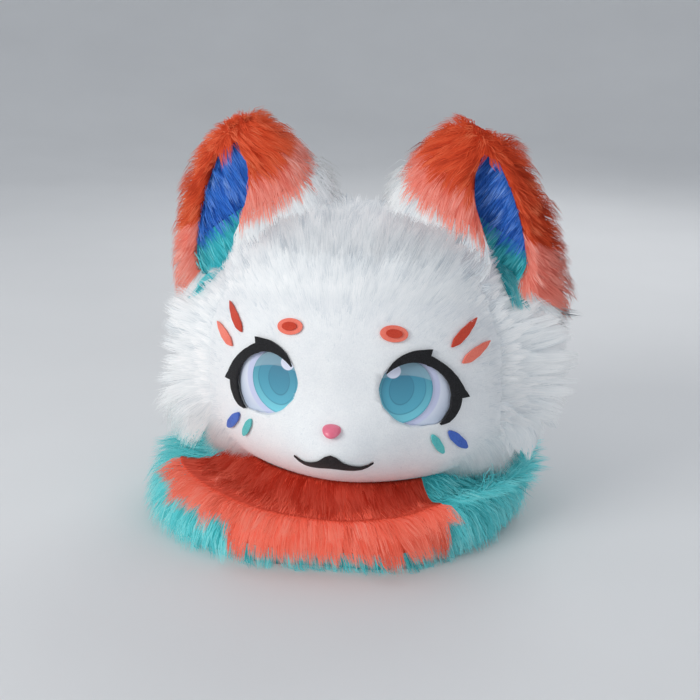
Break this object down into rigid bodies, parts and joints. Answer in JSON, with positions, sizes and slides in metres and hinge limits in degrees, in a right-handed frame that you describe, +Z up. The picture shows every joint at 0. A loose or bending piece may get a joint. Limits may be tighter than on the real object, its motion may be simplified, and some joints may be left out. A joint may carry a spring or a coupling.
{
  "type": "costume animal head",
  "caption": "White animal costume head with upright two-tone cupped ears, large ringed eyes and a flared coral and teal neck ruff that it stands on.",
  "frame": {"origin": "centre of the bounding box on the surface that the ruff's hem lies on", "axes": "the face looks along -Y, +X is the wearer's left, +Z is up to the crown and the ear tips"},
  "size_m": [0.414, 0.3616, 0.389],
  "materials": {
    "short_white_pile": "short white velvet pile",
    "long_white_fur": "long white faux fur",
    "coral_fur": "coral faux fur",
    "red_fur": "orange-red faux fur",
    "blue_fur": "blue faux fur",
    "teal_fur": "teal faux fur",
    "eye_white": "pale lavender eye plate",
    "iris_print": "printed blue iris with a clear coat",
    "black_felt": "black felt",
    "coral_pile": "short coral pile",
    "red_pile": "short red pile",
    "blue_pile": "short blue pile",
    "teal_pile": "short teal pile",
    "pink_plastic": "glossy pink resin"
  },
  "bodies": {
    "root": {"head_shell": "short_white_pile", "head_fur": "long_white_fur", "ear_root_left": "long_white_fur", "ear_middle_left": "coral_fur", "ear_tip_left": "red_fur", "ear_lining_lower_left": "teal_fur", "ear_lining_upper_left": "blue_fur", "eye_plate_left": "eye_white", "iris_left": "iris_print", "lash_left": "black_felt", "brow_left": "coral_pile", "brow_spot_left": "red_pile", "cheek_stripe_upper_left": "red_pile", "cheek_stripe_lower_left": "coral_pile", "blush_stroke_outer_left": "blue_pile", "blush_stroke_inner_left": "teal_pile", "ear_root_right": "long_white_fur", "ear_middle_right": "coral_fur", "ear_tip_right": "red_fur", "ear_lining_lower_right": "teal_fur", "ear_lining_upper_right": "blue_fur", "eye_plate_right": "eye_white", "iris_right": "iris_print", "lash_right": "black_felt", "brow_right": "coral_pile", "brow_spot_right": "red_pile", "cheek_stripe_upper_right": "red_pile", "cheek_stripe_lower_right": "coral_pile", "blush_stroke_outer_right": "blue_pile", "blush_stroke_inner_right": "teal_pile", "nose": "pink_plastic", "mouth": "black_felt", "ruff_teal": "teal_fur", "ruff_bib": "coral_fur"}
  },
  "joints": []
}
